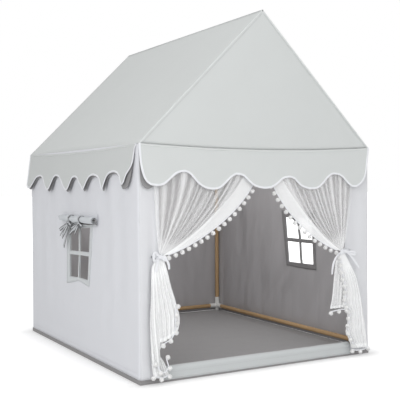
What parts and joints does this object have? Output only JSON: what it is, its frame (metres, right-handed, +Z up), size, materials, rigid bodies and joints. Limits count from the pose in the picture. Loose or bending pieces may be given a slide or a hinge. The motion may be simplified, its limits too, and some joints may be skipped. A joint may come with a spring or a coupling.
{
  "type": "kids play tent",
  "caption": "House-shaped kids play tent with a pole frame, scalloped cover, tied-back net curtains, roll-up window flaps and a floor mat.",
  "frame": {"origin": "middle of the footprint, on the floor", "axes": "+Z up, the doorway faces -Y, the ridge runs along Y"},
  "size_m": [1.1174, 1.2749, 1.3693],
  "materials": {
    "cover_white": "plain woven cotton, matt white",
    "cover_grey": "plain woven cotton, matt pale grey",
    "net_white": "sheer white net",
    "pom_white": "fluffy white yarn",
    "tape_grey": "woven tape, pale blue-grey",
    "pine": "sanded pine dowel, unvarnished",
    "moulded_plastic": "matt off-white moulding",
    "mat_grey": "brushed cotton over soft padding, mid grey"
  },
  "bodies": {
    "tent": {"floor_mat": "mat_grey", "base_rail_front": "pine", "base_rail_back": "pine", "base_rail_left": "pine", "base_rail_right": "pine", "eave_rail_front": "pine", "eave_rail_back": "pine", "eave_rail_left": "pine", "eave_rail_right": "pine", "post_front_left": "pine", "post_front_right": "pine", "post_back_left": "pine", "post_back_right": "pine", "rafter_front_left": "pine", "rafter_front_right": "pine", "rafter_back_left": "pine", "rafter_back_right": "pine", "ridge_pole": "pine", "base_corner_front_left": "moulded_plastic", "base_corner_front_right": "moulded_plastic", "base_corner_back_left": "moulded_plastic", "base_corner_back_right": "moulded_plastic", "eave_corner_front_left": "moulded_plastic", "eave_corner_front_right": "moulded_plastic", "eave_corner_back_left": "moulded_plastic", "eave_corner_back_right": "moulded_plastic", "ridge_joint_front": "moulded_plastic", "ridge_joint_back": "moulded_plastic", "roof_slope_left": "cover_grey", "roof_slope_right": "cover_grey", "gable_front": "cover_grey", "gable_back": "cover_grey", "wall_left": "cover_white", "wall_right": "cover_white", "wall_back": "cover_white", "front_panel_left": "cover_white", "front_panel_right": "cover_white", "door_sill": "cover_grey", "window_frame_left": "tape_grey", "window_frame_right": "tape_grey", "flap_sheet_left": "cover_white", "flap_sheet_right": "cover_white", "curtain_swag_left": "net_white", "curtain_swag_right": "net_white", "curtain_tie_left": "net_white", "curtain_tie_right": "net_white", "swag_trim_left": "pom_white", "swag_trim_right": "pom_white"},
    "front_valance": {"valance_front": "cover_grey"},
    "back_valance": {"valance_back": "cover_grey"},
    "left_valance": {"valance_left": "cover_grey"},
    "right_valance": {"valance_right": "cover_grey"},
    "left_flap": {"flap_roll_left": "cover_white", "flap_ties_left": "tape_grey"},
    "right_flap": {"flap_roll_right": "cover_white", "flap_ties_right": "tape_grey"},
    "left_tail": {"curtain_tail_left": "net_white", "tail_trim_left": "pom_white"},
    "right_tail": {"curtain_tail_right": "net_white", "tail_trim_right": "pom_white"}
  },
  "joints": [
    {"name": "front_valance_lift", "type": "hinge", "parent": "tent", "child": "front_valance", "pos_m": [0, -0.6136, 0.853], "axis": [-1, 0, 0], "range_deg": [0, 150]},
    {"name": "back_valance_lift", "type": "hinge", "parent": "tent", "child": "back_valance", "pos_m": [0, 0.6113, 0.853], "axis": [1, 0, 0], "range_deg": [0, 150]},
    {"name": "left_valance_lift", "type": "hinge", "parent": "tent", "child": "left_valance", "pos_m": [-0.5263, 0, 0.853], "axis": [0, 1, 0], "range_deg": [0, 120]},
    {"name": "right_valance_lift", "type": "hinge", "parent": "tent", "child": "right_valance", "pos_m": [0.5263, 0, 0.853], "axis": [0, -1, 0], "range_deg": [0, 120]},
    {"name": "left_flap_drop", "type": "slide", "parent": "tent", "child": "left_flap", "axis": [0, 0, -1], "range_m": [0, 0.26], "deforming": ["flap_sheet_left"]},
    {"name": "right_flap_drop", "type": "slide", "parent": "tent", "child": "right_flap", "axis": [0, 0, -1], "range_m": [0, 0.26], "deforming": ["flap_sheet_right"]},
    {"name": "left_tail_swing", "type": "hinge", "parent": "tent", "child": "left_tail", "pos_m": [-0.453, -0.6218, 0.451], "axis": [-1, 0, 0], "range_deg": [0, 35]},
    {"name": "right_tail_swing", "type": "hinge", "parent": "tent", "child": "right_tail", "pos_m": [0.381, -0.6218, 0.432], "axis": [-1, 0, 0], "range_deg": [0, 35]}
  ]
}
